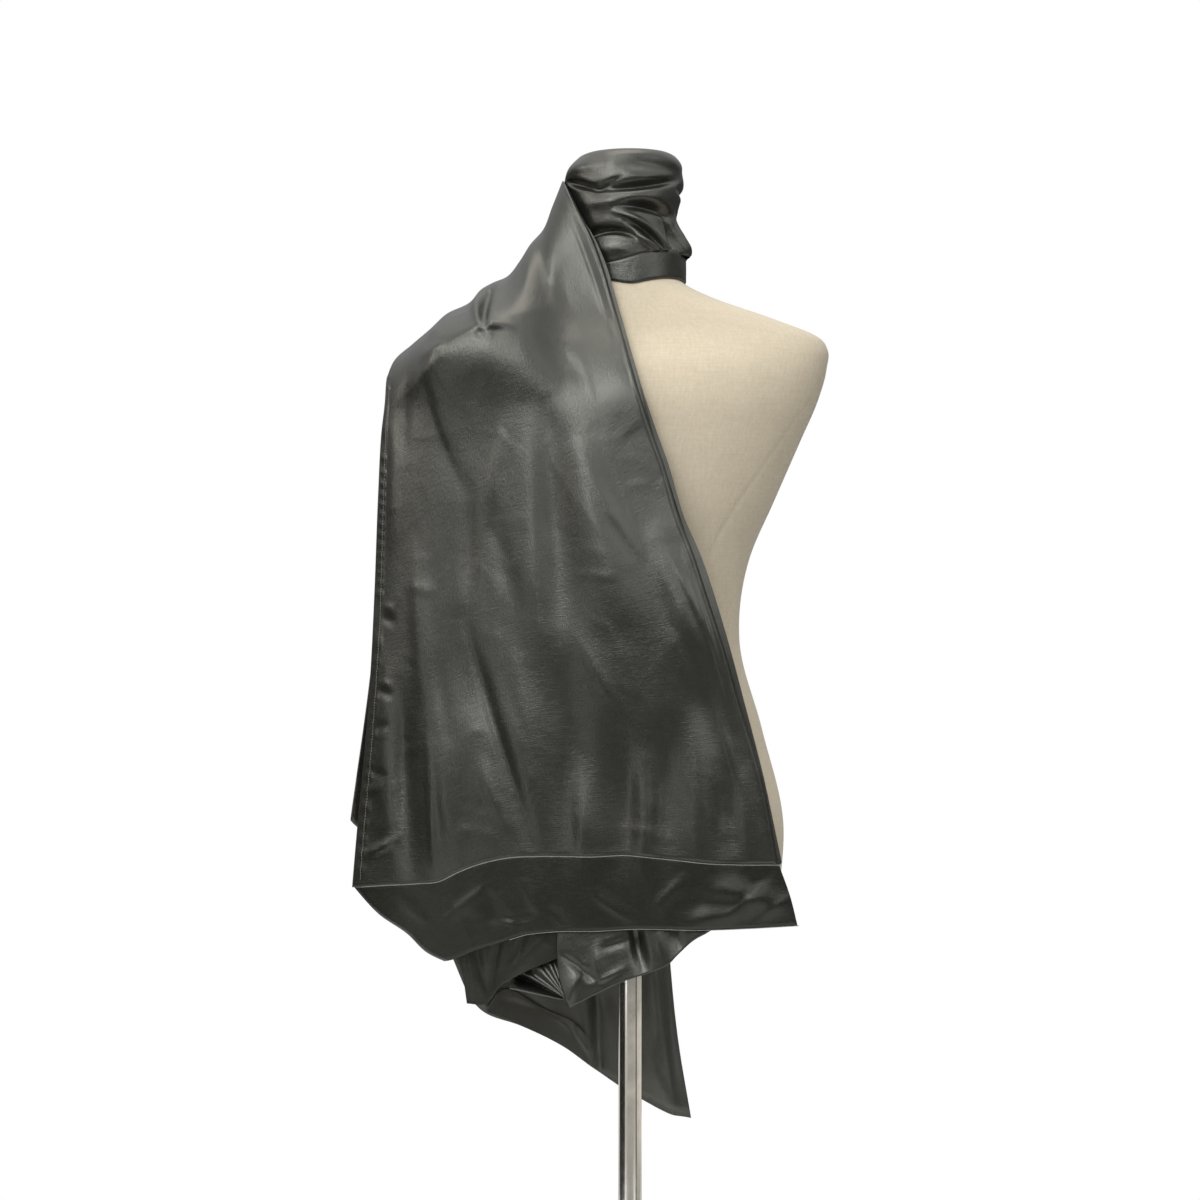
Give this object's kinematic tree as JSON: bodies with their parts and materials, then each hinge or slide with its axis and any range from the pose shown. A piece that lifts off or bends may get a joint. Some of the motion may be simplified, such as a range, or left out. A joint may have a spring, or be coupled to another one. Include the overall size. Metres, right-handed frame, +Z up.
{
  "type": "evening stole on a limbless dress form",
  "caption": "Dark satin evening stole wound high round the neck of a linen dress form on a steel stand, with a deep-hemmed panel hanging over one shoulder and a long pointed tail behind.",
  "frame": {"origin": "middle of the base plate's flat underside, on the floor and on the pole's axis", "axes": "+Z up along the pole; -Y towards the near side, where the panel with the deep hem band hangs; +X towards the bare shoulder"},
  "size_m": [0.519, 0.35, 1.515],
  "materials": {
    "satin": "charcoal satin, soft sheen",
    "linen": "natural linen, plain weave, matt",
    "steel": "polished steel"
  },
  "bodies": {
    "root": {"neck_wrap": "satin", "neck_band": "satin", "front_panel": "satin", "front_hem_band": "satin", "under_layer": "satin", "inner_layer": "satin", "gathered_corner": "satin", "back_panel": "satin", "back_hem_band": "satin", "dress_form": "linen", "form_flange": "steel", "pole": "steel", "pole_collar": "steel", "base_plate": "steel"}
  },
  "joints": []
}
